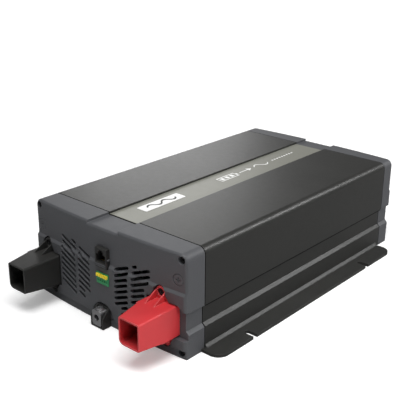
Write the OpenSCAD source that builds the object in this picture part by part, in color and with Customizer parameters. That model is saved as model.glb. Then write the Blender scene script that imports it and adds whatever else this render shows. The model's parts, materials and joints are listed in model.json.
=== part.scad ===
// Power inverter: a long low housing with a bowed plastic cap on each end.
// X is across, Y runs from the battery end (-Y) to the outlet end (+Y), Z is up.
// The origin is the middle of the base, under the middle of the extruded housing.

/* [Housing] */
// Width of the housing between its side walls
body_w = 201; // [168:1:242]
// Height of the housing above its base
body_h = 100; // [90:1:120]
// Length of the extruded middle, without the end caps
body_l = 304; // [290:1:370]
// Thickness of the top cover's sheet
cover_t = 2; // [1.6:0.1:2.5]
// Thickness of the chassis walls
tray_t = 2.5; // [2:0.1:3]
// Thickness of the chassis floor and of the mounting flanges
floor_t = 3; // [2.4:0.1:4]
// Radius of the long top edges
edge_r = 7; // [6:0.5:9]
// Width of the sunken strip along the top
channel_w = 40; // [30:1:50]
// Depth of the sunken strip
channel_d = 2.5; // [1.5:0.1:3]
// Height of the lower side wall
skirt_h = 23.5; // [19:0.5:28]
// How far the side groove is let in
groove_d = 3; // [2:0.1:3.6]
// Height of the edge where the top cover ends
seam_z = 45; // [42:0.5:50]
// Gap between the housing and each cap
seam_gap = 1.1; // [0.5:0.1:1.2]

/* [Mounting flanges] */
// How far each flange stands out past the side wall
flange_w = 21.5; // [18:0.5:26]
// Corner radius of the flanges
flange_r = 12; // [8:0.5:16]
// How far the flange runs past the front of the extruded middle
flange_over = 5; // [0:0.5:8]
// How far the flange stops short of the rear of the extruded middle
flange_short = 6; // [0:0.5:12]
// Width of the open mounting notches
notch_w = 5.5; // [4.5:0.1:6.6]
// Depth of the notches from the flange's edge
notch_l = 12; // [8:0.5:14]
// Distance from the flanges' front end to the middle of the front notches
notch_front = 50.4; // [40:0.1:60]
// Distance from the flanges' rear end to the middle of the rear notches
notch_rear = 54.4; // [40:0.1:66]

/* [End caps] */
// Depth of the front cap at its corners
front_d = 24; // [20:0.5:29]
// Depth of the rear cap at its corners
rear_d = 18; // [18:0.5:22]
// How far the face of each cap bows out in the middle
bow = 4.6; // [3.5:0.1:5.5]
// Wall thickness of the caps
cap_t = 3; // [2.5:0.1:3.6]
// Height of the set-back plinth at the foot of the face
plinth_h = 9; // [7:0.5:11]
// Height where the sloped ledge across the face starts
ledge_z = 62; // [58:0.5:66]
// How far the face below the ledge stands forward
ledge_d = 2; // [1.5:0.1:2.6]
// Distance of the corner screws from the top and the sides
corner_in = 5.6; // [5.2:0.1:6.6]
// Radius of the screw wells
well_r = 3.7; // [3.2:0.1:3.9]

/* [Vents] */
// Width of one vent slot
slot_w = 3.3; // [2.6:0.1:3.6]
// Height from one slot to the next
slot_pitch = 5.7; // [5:0.1:6.2]
// Slope of the slots
slot_tilt = 22; // [18:1:26]

/* [Battery terminals] */
// Sideways place of the positive terminal cover
plus_x = 74.4; // [70:0.1:76]
// Sideways place of the negative terminal cover
minus_x = -79.1; // [-82:0.1:-76]
// Height of the middle of both covers
boot_z = 35.2; // [34:0.1:37]
// Width of a cover at its root
boot_w = 31.7; // [28:0.1:33]
// Height of a cover at its root
boot_h = 30.8; // [27:0.1:33]
// Length of the straight root of a cover
boot_root = 21.4; // [16:0.1:28]
// Length of the whole cover
boot_l = 48.9; // [42:0.1:60]
// Wall thickness of the covers
boot_t = 1.7; // [1.4:0.1:2.2]
// Gap around and behind a cover in its pocket
boot_gap = 1.3; // [0.8:0.1:1.8]
// Width of a busbar
bar_w = 20; // [16:0.5:22]
// Thickness of a busbar
bar_t = 4; // [3:0.1:5]
// Radius of the stud hole in a busbar
bar_hole_r = 4.25; // [3.2:0.05:5.2]

/* [Ports] */
// Sideways place of the data jack and the spring terminal
port_x = 2; // [-2:0.1:4]
// Width of the data jack
jack_w = 15.4; // [15:0.1:16.4]
// Height of the data jack
jack_h = 19.6; // [18:0.1:21]
// Height of the foot of the jack
jack_z = 60; // [58:0.5:62]
// Distance between neighbouring ways of the spring terminal
way_pitch = 3; // [2.5:0.1:3.1]
// Number of ways of the spring terminal
ways = 5; // [2:1:5]
// How far a release button is pushed in
button_travel = 1.2; // [0.8:0.1:1.6]
// Gap around each release button
button_gap = 0.12; // [0.08:0.01:0.16]
// Radius of the wire hole in the ground lug
lug_hole_r = 3.1; // [2.4:0.1:3.4]

/* [Fans] */
// Size of each square fan
fan_size = 50; // [41:1:56]
// Depth of each fan
fan_d = 20; // [15:1:24]
// Sideways distance of each fan from the middle
fan_x = 38; // [36:1:40]
// Radial gap between a fan's pin and its bearing
bearing_gap = 0.04; // [0.02:0.01:0.08]

/* [Outlet end] */
// Sideways place of the mains outlet
outlet_x = 48; // [44:1:56]
// Radius of the outlet's well
outlet_r = 19.5; // [19:0.1:20]
// Depth of the outlet's well
outlet_d = 17; // [15:0.5:18]
// Tilt of the power rocker each way
rocker_tilt = 8; // [6:1:10]

/* [Electronics] */
// Width of the main board
board_w = 182; // [150:1:186]
// Length of the main board
board_l = 276; // [270:1:280]
// Thickness of the circuit boards
board_t = 1.6; // [1.2:0.1:2]
// Height of the board standoffs
standoff_h = 6; // [5:0.5:8]

/* [Hidden] */
$fn = 48;
fine_fn = 720;
slack = 0.2;
plate_gap = 0.1;
eps = 0.01;
metal = "silver";
slate = [0.30, 0.31, 0.32];
dark = [0.13, 0.13, 0.13];
half_w = body_w / 2;
half_l = body_l / 2;
inner_w = half_w - tray_t - groove_d;
front_y = -half_l - front_d;
rear_y = half_l + rear_d;
bow_r = (half_w * half_w + bow * bow) / (2 * bow);
pocket_y = front_y + 2.4;
screw_x = half_w - corner_in;
top_screw_z = body_h - corner_in;
foot_screw_z = corner_in;
port_y = front_y + 10;
board_z = floor_t + standoff_h;
board_top = board_z + board_t;
fan_z = 44;
fan_front = pocket_y + cap_t + 0.8;
fan_hole = fan_size * 0.4;
vent_top = 69.8;
vent_mid = 36;
inner_slot = [18.2, 32.5];
outer_slot = [39.3, 58.2];
vent_rows = 9;
ear_x = -2.7;
ear_z = 22.2;
ear_r = 5.9;
ear_hole_r = 2.2;
ear_t = 4;
mouth_w = 24.6;
mouth_h = 26.2;
lug_x = 0.4;
lug_z = 10.7;
lug_front = front_y - bow - 10.4;
lug_back = front_y - bow - 0.1;
pin_r = 1.5;
outlet_z = 46;
outlet_seat = rear_y - 0.8;
switch_z = 79;
lens_z = 50;
sink_h = body_h - channel_d - cover_t - board_top - 14;
standoffs = [for (x = [-1, 1], y = [-0.45, -0.16, 0.16, 0.45]) [x * (board_w / 2 - 6), y * board_l]];

// ---- shared shapes ----

// A flat X-Z shape made solid between two Y stations.
module along_y(front, rear) {
    translate([0, rear, 0]) rotate([90, 0, 0]) linear_extrude(rear - front) children();
}

// A round rod along Y.
module y_rod(x, z, r, front, rear) {
    along_y(front, rear) translate([x, z]) circle(r);
}

// A box given by its low and high corners.
module block(low, high) {
    translate(low) cube(high - low);
}

// A rectangle given by two corners, with rounded corners.
module round_rect(x0, z0, x1, z1, r) {
    translate([x0 + r, z0]) square([x1 - x0 - 2 * r, z1 - z0]);
    translate([x0, z0 + r]) square([x1 - x0, z1 - z0 - 2 * r]);
    for (x = [x0 + r, x1 - r], z = [z0 + r, z1 - r]) translate([x, z]) circle(r);
}

// The section of the housing above the seam, inset by d, with the sunken strip.
module cover_outline(d) {
    difference() {
        union() {
            translate([-half_w + d, seam_z - 20]) square([body_w - 2 * d, body_h - edge_r - seam_z + 20]);
            translate([-half_w + edge_r, seam_z]) square([body_w - 2 * edge_r, body_h - d - seam_z]);
            for (s = [-1, 1]) translate([s * (half_w - edge_r), body_h - edge_r]) circle(edge_r - d);
        }
        translate([-channel_w / 2 - d, body_h - channel_d - d]) square([channel_w + 2 * d, channel_d + d + 1]);
    }
}

// The section of the housing below the seam, inset by d.
module lower_outline(d) {
    bend = d * (sqrt(2) - 1);
    side = [
        [half_w - d, d],
        [half_w - d, skirt_h - bend],
        [half_w - groove_d - d, skirt_h + groove_d - bend],
        [half_w - groove_d - d, seam_z + d + eps]
    ];
    polygon(concat(side, [for (i = [3:-1:0]) [-side[i][0], side[i][1]]]));
}

// The whole section of an end cap, inset by d.
module cap_outline(d) {
    intersection() {
        cover_outline(d);
        translate([-half_w, seam_z + d]) square([body_w, body_h]);
    }
    lower_outline(d);
}

// The space behind a bowed face whose corners are at y = edge, facing -Y.
module behind_bow(edge, proud) {
    translate([0, edge - bow + bow_r, -1]) cylinder(r = bow_r + proud, h = body_h + 2, $fn = fine_fn);
}

// The same with the plinth, the shadow line and the ledge turned into the face.
module behind_face(edge) {
    line_d = 1.2;
    line_h = 1.3;
    translate([0, edge - bow + bow_r, 0]) rotate_extrude($fn = fine_fn) polygon([
        [0, -1], [bow_r, -1], [bow_r, plinth_h - line_h], [bow_r - line_d, plinth_h - line_h],
        [bow_r - line_d, plinth_h], [bow_r + ledge_d, plinth_h], [bow_r + ledge_d, ledge_z],
        [bow_r, ledge_z + ledge_d * 1.2], [bow_r, body_h + 1], [0, body_h + 1]
    ]);
}

// One vent slot between two X stations; row counts down from the top.
module vent_slot(x0, x1, row) {
    len = (x1 - x0) / cos(slot_tilt);
    z0 = vent_top - row * slot_pitch + tan(slot_tilt) * (x0 - vent_mid);
    translate([x0, z0]) rotate(slot_tilt) {
        translate([0, -slot_w / 2]) square([len, slot_w]);
        circle(slot_w / 2);
        translate([len, 0]) circle(slot_w / 2);
    }
}

// One side's vents: two columns of sloping slots, with ends that clear their neighbours.
module vent_group(outer_end) {
    for (row = [0:vent_rows - 1]) {
        vent_slot(row < vent_rows - 2 ? inner_slot[0] : inner_slot[0] + 8, inner_slot[1], row);
    }
    vent_slot(outer_slot[0], outer_slot[0] + 3.5, 0);
    for (row = [1:vent_rows]) {
        vent_slot(outer_slot[0], row < 4 ? outer_slot[1] : outer_end, row);
    }
}

// A pan-head screw along Y: its head's underside is at seat and its shank runs by length.
module y_screw(x, z, seat, length, shank_r, head_r, head_h) {
    way = length > 0 ? 1 : -1;
    y_rod(x, z, shank_r, min(seat, seat + length), max(seat, seat + length));
    difference() {
        y_rod(x, z, head_r, min(seat, seat - way * head_h), max(seat, seat - way * head_h));
        recess = seat - way * head_h;
        for (turn = [0, 90]) translate([x, recess, z]) rotate([0, turn, 0])
            cube([head_r * 1.1, head_h * 1.1, head_r * 0.3], center = true);
    }
}

// A pan-head screw down into a face at height seat.
module z_screw(x, y, seat, length, shank_r, head_r, head_h) {
    translate([x, y, seat - length]) cylinder(r = shank_r, h = length);
    difference() {
        translate([x, y, seat]) cylinder(r = head_r, h = head_h);
        for (turn = [0, 90]) translate([x, y, seat + head_h]) rotate([0, 0, turn])
            cube([head_r * 1.1, head_r * 0.3, head_h * 1.1], center = true);
    }
}

// ---- housing ----

module base_chassis() {
    color(dark) {
        along_y(-half_l, half_l) difference() {
            union() {
                difference() {
                    lower_outline(0);
                    lower_outline(tray_t);
                }
                translate([-half_w, 0]) square([body_w, floor_t]);
                for (s = [-1, 1]) {
                    translate([s > 0 ? inner_w : -inner_w - tray_t, seam_z - 1]) square([tray_t, 9]);
                    translate([s * screw_x, foot_screw_z]) circle(4.2);
                }
            }
            translate([-inner_w, seam_z - 2]) square([2 * inner_w, 12]);
            for (s = [-1, 1]) translate([s * screw_x, foot_screw_z]) circle(2.1);
        }
        for (s = [0, 1]) mirror([s, 0, 0]) flange();
    }
}

module flange() {
    front = -half_l - flange_over;
    rear = half_l - flange_short;
    edge = half_w + flange_w;
    fillet = 2.5;
    difference() {
        union() {
            translate([half_w, front + flange_r, 0]) cube([flange_w, rear - front - 2 * flange_r, floor_t]);
            translate([half_w, front, 0]) cube([flange_w - flange_r, rear - front, floor_t]);
            for (y = [front + flange_r, rear - flange_r]) {
                translate([edge - flange_r, y, 0]) cylinder(r = flange_r, h = floor_t);
            }
        }
        for (y = [front + notch_front, rear - notch_rear]) {
            translate([edge - notch_l + notch_w / 2, y, -1]) {
                cylinder(r = notch_w / 2, h = floor_t + 2);
                translate([0, -notch_w / 2, 0]) cube([notch_l, notch_w, floor_t + 2]);
            }
        }
    }
    along_y(-half_l, rear) polygon([
        [half_w - eps, floor_t - eps], [half_w + fillet, floor_t], [half_w, floor_t + fillet]
    ]);
}

module top_cover() {
    color(dark) along_y(-half_l, half_l) difference() {
        union() {
            difference() {
                cover_outline(0);
                cover_outline(cover_t);
            }
            for (s = [-1, 1]) translate([s * screw_x, top_screw_z]) circle(4.2);
        }
        translate([-half_w, seam_z - 30]) square([body_w, 30]);
        for (s = [-1, 1]) translate([s * screw_x, top_screw_z]) circle(2.1);
    }
}

module label_strip() {
    color([0.58, 0.57, 0.53]) block(
        [-channel_w / 2 + slack, -half_l + slack, body_h - channel_d + 0.02],
        [channel_w / 2 - slack, half_l - slack, body_h - channel_d + 0.6]
    );
}

// The tongue that reaches from a cap into the top cover.
module cap_tongue(front, rear) {
    along_y(front, rear) intersection() {
        difference() {
            cover_outline(cover_t + slack);
            cover_outline(cover_t + slack + 2);
            for (s = [-1, 1]) translate([s * screw_x, top_screw_z]) circle(5);
        }
        translate([-half_w, seam_z + 14]) square([body_w, body_h]);
    }
}

// Columns behind the four corner screws.
module corner_columns(front, rear) {
    intersection() {
        along_y(front, rear) cap_outline(eps);
        for (s = [-1, 1], z = [foot_screw_z, top_screw_z]) y_rod(s * screw_x, z, 7, front, rear);
    }
}

// The outline of a terminal cover's root with its two ears, grown by m; the origin is its middle.
module boot_outline(m) {
    translate([-boot_w / 2 - m, -boot_h / 2 - m]) square([boot_w + 2 * m, boot_h + 2 * m]);
    for (turn = [0, 180]) rotate(turn) translate([ear_x, 0]) {
        translate([0, ear_z]) circle(ear_r + m);
        polygon([
            [-ear_r - 4 - m, boot_h / 2], [ear_r + 4 + m, boot_h / 2],
            [ear_r + m, ear_z], [-ear_r - m, ear_z]
        ]);
    }
}

// The pocket for a terminal cover: its outline with a gap, open to the nearer side wall.
module boot_pocket(x, m) {
    s = sign(x);
    edge = s * (half_w + 1);
    side = s * (abs(x) + boot_w / 2);
    top = boot_z + boot_h / 2 + m;
    translate([x, boot_z]) boot_outline(m);
    polygon([
        [x, boot_z - boot_h / 2 - m], [edge, boot_z - boot_h / 2 - m], [edge, seam_z],
        [side + s * 1.5, top], [x, top]
    ]);
}

// A raised mark cut into the face: a ring with a bar, or with a cross.
module polarity_mark(x, z, plus) {
    translate([x, z]) {
        difference() {
            circle(5.8);
            circle(5.1);
        }
        square([5.6, 0.9], center = true);
        if (plus) square([0.9, 5.6], center = true);
    }
}

module front_cap() {
    lug_arch_r = 14.4;
    mark_z = ledge_z + 13.5;
    mark_x = half_w - 9;
    deep = front_y - bow - ledge_d - 1;
    back = -half_l - seam_gap;
    color(slate) difference() {
        union() {
            difference() {
                intersection() {
                    along_y(deep, back) cap_outline(0);
                    behind_face(front_y);
                }
                intersection() {
                    along_y(deep, back + 1) cap_outline(cap_t);
                    behind_bow(front_y, -cap_t);
                }
            }
            intersection() {
                along_y(pocket_y - 1, pocket_y + cap_t) intersection() {
                    cap_outline(eps);
                    for (x = [plus_x, minus_x]) boot_pocket(x, boot_gap + 2.5);
                }
                behind_bow(front_y, 0);
            }
            intersection() {
                corner_columns(deep, back);
                behind_bow(front_y, 0);
            }
            intersection() {
                union() {
                    for (s = [-1, 1], dx = [-fan_hole, fan_hole], dz = [-fan_hole, fan_hole]) {
                        y_rod(s * fan_x + dx, fan_z + dz, 3.4, deep, fan_front - 0.05);
                    }
                    for (p = port_posts) y_rod(p[0], p[1], 2.6, deep, port_y - 0.02);
                }
                behind_bow(front_y, -cap_t / 2);
            }
            cap_tongue(back - 4, -half_l + 6);
        }
        along_y(deep, fan_front) for (x = [plus_x, minus_x]) boot_pocket(x, boot_gap);
        along_y(deep, fan_front - 4) {
            vent_group(plus_x - boot_w / 2 - boot_gap - 4.2);
            mirror([1, 0]) vent_group(outer_slot[1]);
        }
        along_y(deep, port_y + 1) {
            translate([port_x - jack_w / 2 - slack, jack_z - slack])
                square([jack_w + 2 * slack, jack_h + 2 * slack]);
            translate([port_x - terminal_w / 2 - slack, terminal_z - slack])
                square([terminal_w + 2 * slack, terminal_h + 2 * slack]);
        }
        difference() {
            along_y(deep, front_y) {
                translate([lug_x, plinth_h - 0.6]) circle(lug_arch_r);
                for (s = [-1, 1]) polarity_mark(s * mark_x, mark_z, s > 0);
            }
            difference() {
                behind_bow(front_y, 0);
                along_y(deep, front_y) {
                    for (s = [-1, 1]) translate([s * mark_x, mark_z]) circle(6);
                    difference() {
                        translate([lug_x, plinth_h - 0.6]) circle(lug_arch_r);
                        translate([lug_x, plinth_h - 0.6]) circle(lug_arch_r - 1.2);
                        translate([-half_w, -1]) square([body_w, plinth_h + 1]);
                    }
                }
            }
            behind_bow(front_y, -0.6);
        }
        for (s = [-1, 1], z = [foot_screw_z, top_screw_z]) {
            y_rod(s * screw_x, z, well_r, deep, front_y + 4);
            y_rod(s * screw_x, z, 2.3, deep, back + 1);
        }
        fan_screw_holes();
        for (p = port_posts) y_rod(p[0], p[1], 1.3, port_y - 7, port_y + 1);
        y_rod(lug_x, lug_z, 2.2, deep, front_y + 8);
    }
}

// Holes for the fans' screws, behind the vents.
module fan_screw_holes() {
    for (s = [-1, 1], dx = [-fan_hole, fan_hole], dz = [-fan_hole, fan_hole]) {
        y_rod(s * fan_x + dx, fan_z + dz, 1.7, fan_front - 3, fan_front + 1);
    }
}

module rear_cap() {
    front = half_l + seam_gap;
    deep = rear_y + bow + ledge_d + 1;
    color(slate) difference() {
        union() {
            difference() {
                intersection() {
                    along_y(front, deep) cap_outline(0);
                    rotate(180) behind_face(-rear_y);
                }
                intersection() {
                    along_y(front - 1, deep) cap_outline(cap_t);
                    rotate(180) behind_bow(-rear_y, -cap_t);
                }
            }
            intersection() {
                union() {
                    along_y(outlet_seat - 3, deep) translate([outlet_x - 28, outlet_z - 28]) square(56);
                    along_y(outlet_seat - 3, deep) translate([-11.5, switch_z - 15]) square([23, 30]);
                    corner_columns(front, deep);
                }
                rotate(180) behind_bow(-rear_y, 0);
            }
            cap_tongue(half_l - 6, front + 4);
        }
        along_y(outlet_seat, deep) {
            round_rect(outlet_x - 25.4, outlet_z - 25.4, outlet_x + 25.4, outlet_z + 25.4, 4);
            round_rect(-8.7, switch_z - 12.2, 8.7, switch_z + 12.2, 2);
        }
        y_rod(outlet_x, outlet_z, outlet_r + 2, front, deep);
        for (s = [-1, 1]) y_rod(outlet_x + s * 21, outlet_z + s * 21, 1.7, front, deep);
        along_y(front, deep) translate([-6.9, switch_z - 10.6]) square([13.8, 21.2]);
        y_rod(0, lens_z, 2.6, front, deep);
        along_y(outlet_seat - 6, deep) mirror([1, 0]) {
            vent_group(outer_slot[1]);
            for (row = [1:vent_rows]) vent_slot(65, 84, row + 2);
        }
        for (s = [-1, 1], z = [foot_screw_z, top_screw_z]) {
            y_rod(s * screw_x, z, well_r, rear_y - 4, deep);
            y_rod(s * screw_x, z, 2.3, front - 1, deep);
        }
    }
}

module front_cap_screws() {
    color(dark) for (s = [-1, 1], z = [foot_screw_z, top_screw_z]) {
        y_screw(s * screw_x, z, front_y + 4, front_d + 8, 2, 3.3, 2.2);
    }
}

module rear_cap_screws() {
    color(dark) for (s = [-1, 1], z = [foot_screw_z, top_screw_z]) {
        y_screw(s * screw_x, z, rear_y - 4, -rear_d - 6, 2, 3.3, 2.2);
    }
}

// ---- battery terminals ----

// A terminal cover: a straight root, a tapered mouth and two ribbed ears.
module boot(x, shade) {
    root = pocket_y - boot_root;
    mouth = pocket_y - boot_l;
    right = boot_w / 2;
    back = pocket_y - slack;
    color(shade) translate([x, 0, boot_z]) difference() {
        union() {
            along_y(root, back) round_rect(-right, -boot_h / 2, right, boot_h / 2, 1.6);
            hull() {
                along_y(root - eps, root) round_rect(1.2 - right, 0.8 - boot_h / 2, right, boot_h / 2, 1.6);
                along_y(mouth, mouth + eps) mouth_rect(0);
            }
            for (turn = [0, 180]) rotate([0, turn, 0]) boot_ear(back);
        }
        along_y(root - eps, back + 1)
            round_rect(boot_t - right, boot_t - boot_h / 2, right - boot_t, boot_h / 2 - boot_t, 0.8);
        hull() {
            along_y(root - eps, root) round_rect(
                1.2 + boot_t - right, 0.8 + boot_t - boot_h / 2, right - boot_t, boot_h / 2 - boot_t, 0.8);
            along_y(mouth - 1, mouth) mouth_rect(boot_t);
        }
    }
}

// The mouth of a cover inset by d, which sits to the right and has one corner cut off round.
module mouth_rect(d) {
    right = boot_w / 2 - 0.3 - d;
    left = boot_w / 2 - 0.3 - mouth_w + d;
    top = boot_h / 2 - 0.2 - d;
    foot = boot_h / 2 - 0.2 - mouth_h + d;
    r = 2.2 - d;
    big_r = 5 - d;
    hull() {
        for (x = [left + r, right - r]) translate([x, top - r]) circle(r);
        translate([right - r, foot + r]) circle(r);
        translate([left + big_r, foot + big_r]) circle(big_r);
    }
}

module boot_ear(back) {
    front = back - ear_t;
    head_r = 3.6;
    difference() {
        union() {
            y_rod(ear_x, ear_z, ear_r, front, back);
            along_y(front, back) translate([ear_x, 0]) polygon([
                [-ear_r - 4, boot_h / 2 - 1], [ear_r + 4, boot_h / 2 - 1],
                [ear_r, ear_z], [-ear_r, ear_z]
            ]);
            for (s = [-1, 1]) translate([ear_x + s * (ear_r - 0.6) - 0.6, 0, 0]) rotate([90, 0, 90])
                linear_extrude(1.2) polygon([
                    [front - 16, boot_h / 2 - 0.5], [front + 1, boot_h / 2 - 0.5], [front + 1, ear_z + 2.5]
                ]);
        }
        y_rod(ear_x, ear_z, ear_hole_r, front - 1, back + 1);
        y_rod(ear_x, ear_z, head_r + 0.25, front - 1, front + 2.4);
    }
}

module boot_screws(x) {
    color(dark) for (turn = [0, 180]) translate([x, 0, boot_z]) rotate([0, turn, 0])
        y_screw(ear_x, ear_z, pocket_y - slack - ear_t + 2.4, ear_t - 2.4 + cap_t + 2, 1.9, 3.4, 1.8);
}

module positive_cover() {
    boot(plus_x, [0.72, 0.20, 0.20]);
}

module negative_cover() {
    boot(minus_x, dark);
}

module positive_cover_screws() {
    boot_screws(plus_x);
}

module negative_cover_screws() {
    boot_screws(minus_x);
}

// A busbar: a flat tongue through the cap, then a foot down onto the main board.
module busbar(x) {
    tip = pocket_y - 31;
    foot = -board_l / 2 + 6;
    color(metal) difference() {
        union() {
            block([x - bar_w / 2, tip, boot_z - bar_t / 2], [x + bar_w / 2, foot, boot_z + bar_t / 2]);
            block([x - bar_w / 2, foot - bar_t, board_top], [x + bar_w / 2, foot, boot_z]);
        }
        translate([x, tip + 12, boot_z - bar_t]) cylinder(r = bar_hole_r, h = 2 * bar_t);
    }
}

// The plate that closes a cover's pocket; the busbar and the cover's screws go through it.
module terminal_plate(x) {
    color(slate) difference() {
        along_y(pocket_y, fan_front - plate_gap) difference() {
            intersection() {
                cap_outline(eps);
                boot_pocket(x, boot_gap - plate_gap);
            }
            translate([x - bar_w / 2 - 0.6, boot_z - bar_t / 2 - 0.6]) square([bar_w + 1.2, bar_t + 1.2]);
            for (turn = [0, 180]) translate([x, boot_z]) rotate(turn) translate([ear_x, ear_z]) circle(ear_hole_r);
        }
        fan_screw_holes();
    }
}

module positive_terminal_plate() {
    terminal_plate(plus_x);
}

module negative_terminal_plate() {
    terminal_plate(minus_x);
}

module positive_busbar() {
    busbar(plus_x);
}

module negative_busbar() {
    busbar(minus_x);
}

// ---- ports ----

jack_front = front_y - bow - 4.1;
terminal_w = ways * way_pitch + 0.6;
terminal_h = 11.2;
terminal_z = 43;
terminal_front = front_y - bow - ledge_d - 0.9;
button_h = 3.1;
button_z = terminal_z + terminal_h - 0.9 - button_h;

module data_jack() {
    color(dark) difference() {
        along_y(jack_front, port_y - slack) translate([port_x - jack_w / 2, jack_z]) square([jack_w, jack_h]);
        along_y(jack_front - 1, jack_front + 14) jack_mouth();
    }
}

// The plug opening: the main cavity with the latch step above it.
module jack_mouth() {
    translate([port_x - 5.9, jack_z + 5.2]) square([11.8, 8.2]);
    translate([port_x - 3.2, jack_z + 13]) square([6.4, 3.2]);
    translate([port_x - 1.9, jack_z + 16]) square([3.8, 1.6]);
}

module data_jack_contacts() {
    color("gold") for (i = [0:7]) translate([port_x + (i - 3.5) * 1.27 - 0.2, jack_front, jack_z])
        rotate([90, 0, 90]) linear_extrude(0.4) polygon([[4, 6], [4, 6.5], [13.6, 10.6], [13.6, 10.1]]);
}

// The X place of one way of the spring terminal.
function way_x(way) = port_x + (way - (ways + 1) / 2) * way_pitch;

module spring_terminal() {
    color([0.18, 0.55, 0.32]) difference() {
        along_y(terminal_front, port_y - slack)
            translate([port_x - terminal_w / 2, terminal_z]) square([terminal_w, terminal_h]);
        for (way = [1:ways]) {
            along_y(terminal_front - 1, terminal_front + 10)
                translate([way_x(way) - way_pitch / 2 + 0.25, button_z - button_gap])
                square([way_pitch - 0.5, button_h + 2 * button_gap]);
            y_rod(way_x(way), terminal_z + 3.4, 0.95, terminal_front - 1, terminal_front + 12);
        }
    }
}

module wire_clamps() {
    color(metal) for (way = [1:ways]) block(
        [way_x(way) - 0.5, terminal_front + 10.2, terminal_z + 2.6],
        [way_x(way) + 0.5, terminal_front + 11.4, terminal_z + 4.2]
    );
}

module release_button(way) {
    w = way_pitch - 0.5 - 2 * button_gap;
    color("gold") along_y(terminal_front - 1.6, terminal_front + 10 - button_travel - slack)
        round_rect(way_x(way) - w / 2, button_z, way_x(way) + w / 2, button_z + button_h, 0.4);
}

// The port board, no wider than the space between the fans.
board_half = fan_x - fan_size / 2 - abs(port_x) - 0.5;
port_posts = [
    for (x = [-1, 1], z = [terminal_z - 4.5, jack_z + jack_h + 4.5]) [port_x + x * (board_half - 3), z]
];

module port_board() {
    color([0.10, 0.35, 0.18]) difference() {
        block(
            [port_x - board_half, port_y, terminal_z - 8],
            [port_x + board_half, port_y + board_t, jack_z + jack_h + 8]
        );
        for (p = port_posts) y_rod(p[0], p[1], 1.4, port_y - 1, port_y + board_t + 1);
    }
}

module port_board_screws() {
    color(metal) for (p = port_posts) y_screw(p[0], p[1], port_y + board_t + 0.02, -8, 1.2, 2.2, 1.5);
}

// ---- ground terminal ----

module ground_bracket() {
    wall = 2;
    width = 17.2;
    high = 20;
    color(dark) translate([lug_x, 0, 0]) difference() {
        union() {
            block([-width / 2, lug_front, 0.4], [width / 2, lug_back, wall + 0.4]);
            block([-width / 2, lug_back - wall, 0.4], [width / 2, lug_back, high]);
            for (s = [0, 1]) mirror([s, 0, 0]) translate([width / 2 - wall, 0, 0]) rotate([90, 0, 90])
                linear_extrude(wall) polygon([
                    [lug_front, 0.4], [lug_back, 0.4], [lug_back, high], [lug_back - wall, high],
                    [lug_front, high / 2 + 1]
                ]);
        }
        y_rod(0, lug_z, 2.2, lug_back - wall - 1, lug_back + 1);
    }
}

module ground_lug() {
    width = 12;
    top = 17.8;
    back = lug_back - 2.1;
    color(metal) translate([lug_x, 0, 0]) difference() {
        union() {
            along_y(lug_front - 0.2, back) polygon([
                [-width / 2 + 1.5, 2.5], [width / 2 - 1.5, 2.5], [width / 2, 4], [width / 2, top - 1.2],
                [width / 2 - 1.2, top], [-width / 2 + 1.2, top], [-width / 2, top - 1.2], [-width / 2, 4]
            ]);
            y_rod(0, lug_z, 2, back - 1, lug_back + 10);
        }
        y_rod(0, lug_z, lug_hole_r, lug_front - 1, back - 1.4);
        translate([0, (lug_front + back) / 2, lug_z + lug_hole_r + 0.4]) cylinder(r = 2.1, h = top);
    }
}

module ground_screw() {
    top = 17.8;
    y = (lug_front + lug_back - 2.1) / 2;
    color(metal) difference() {
        union() {
            translate([lug_x, y, lug_z + lug_hole_r + 0.5]) cylinder(r = 2, h = top - lug_z - lug_hole_r);
            translate([lug_x, y, top + 0.05]) cylinder(r = 3.2, h = 2);
        }
        translate([lug_x, y, top + 2]) cube([7, 1, 2.2], center = true);
    }
}

// ---- fans ----

module fan_frame(x) {
    rear = fan_front + fan_d;
    duct_r = fan_size / 2 - 1.4;
    hub_r = fan_size * 0.25;
    color(dark) difference() {
        union() {
            difference() {
                along_y(fan_front, rear) translate([x, fan_z])
                    round_rect(-fan_size / 2, -fan_size / 2, fan_size / 2, fan_size / 2, 2.5);
                y_rod(x, fan_z, duct_r, fan_front - 1, rear + 1);
            }
            y_rod(x, fan_z, hub_r, rear - 2.6, rear);
            y_rod(x, fan_z, 3.6, rear - 9, rear);
            for (turn = [0, 90, 180, 270]) translate([x, rear - 1.3, fan_z]) rotate([0, turn + 25, 0])
                translate([hub_r - 1, -1.3, -1.2]) cube([duct_r - hub_r + 1.6, 2.6, 2.4]);
        }
        y_rod(x, fan_z, pin_r + bearing_gap, rear - 10, rear - 1);
        for (dx = [-fan_hole, fan_hole], dz = [-fan_hole, fan_hole])
            y_rod(x + dx, fan_z + dz, 1.8, fan_front - 1, rear + 1);
    }
}

// A rotor: a cup over the bearing tube, with blades set at an angle.
module fan_rotor(x) {
    rear = fan_front + fan_d;
    hub_r = fan_size * 0.25;
    tip_r = fan_size / 2 - 2.4;
    front = fan_front + 0.8;
    color([0.10, 0.10, 0.11]) difference() {
        union() {
            y_rod(x, fan_z, hub_r - 0.3, front, rear - 3.4);
            intersection() {
                y_rod(x, fan_z, tip_r, front, rear - 3.4);
                for (turn = [0:360 / 7:359]) translate([x, 0, fan_z]) rotate([0, turn, 0])
                    translate([hub_r - 1, (front + rear - 3.4) / 2, 0]) rotate([35, 0, 0])
                    translate([0, -12, -0.8]) cube([tip_r, 24, 1.6]);
            }
        }
        y_rod(x, fan_z, 4.2, rear - 9.4, rear);
    }
    color(metal) y_rod(x, fan_z, pin_r, rear - 9.6, rear - 1.4);
}

module left_fan_frame() {
    fan_frame(-fan_x);
}

module right_fan_frame() {
    fan_frame(fan_x);
}

module left_fan_rotor() {
    fan_rotor(-fan_x);
}

module right_fan_rotor() {
    fan_rotor(fan_x);
}

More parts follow.
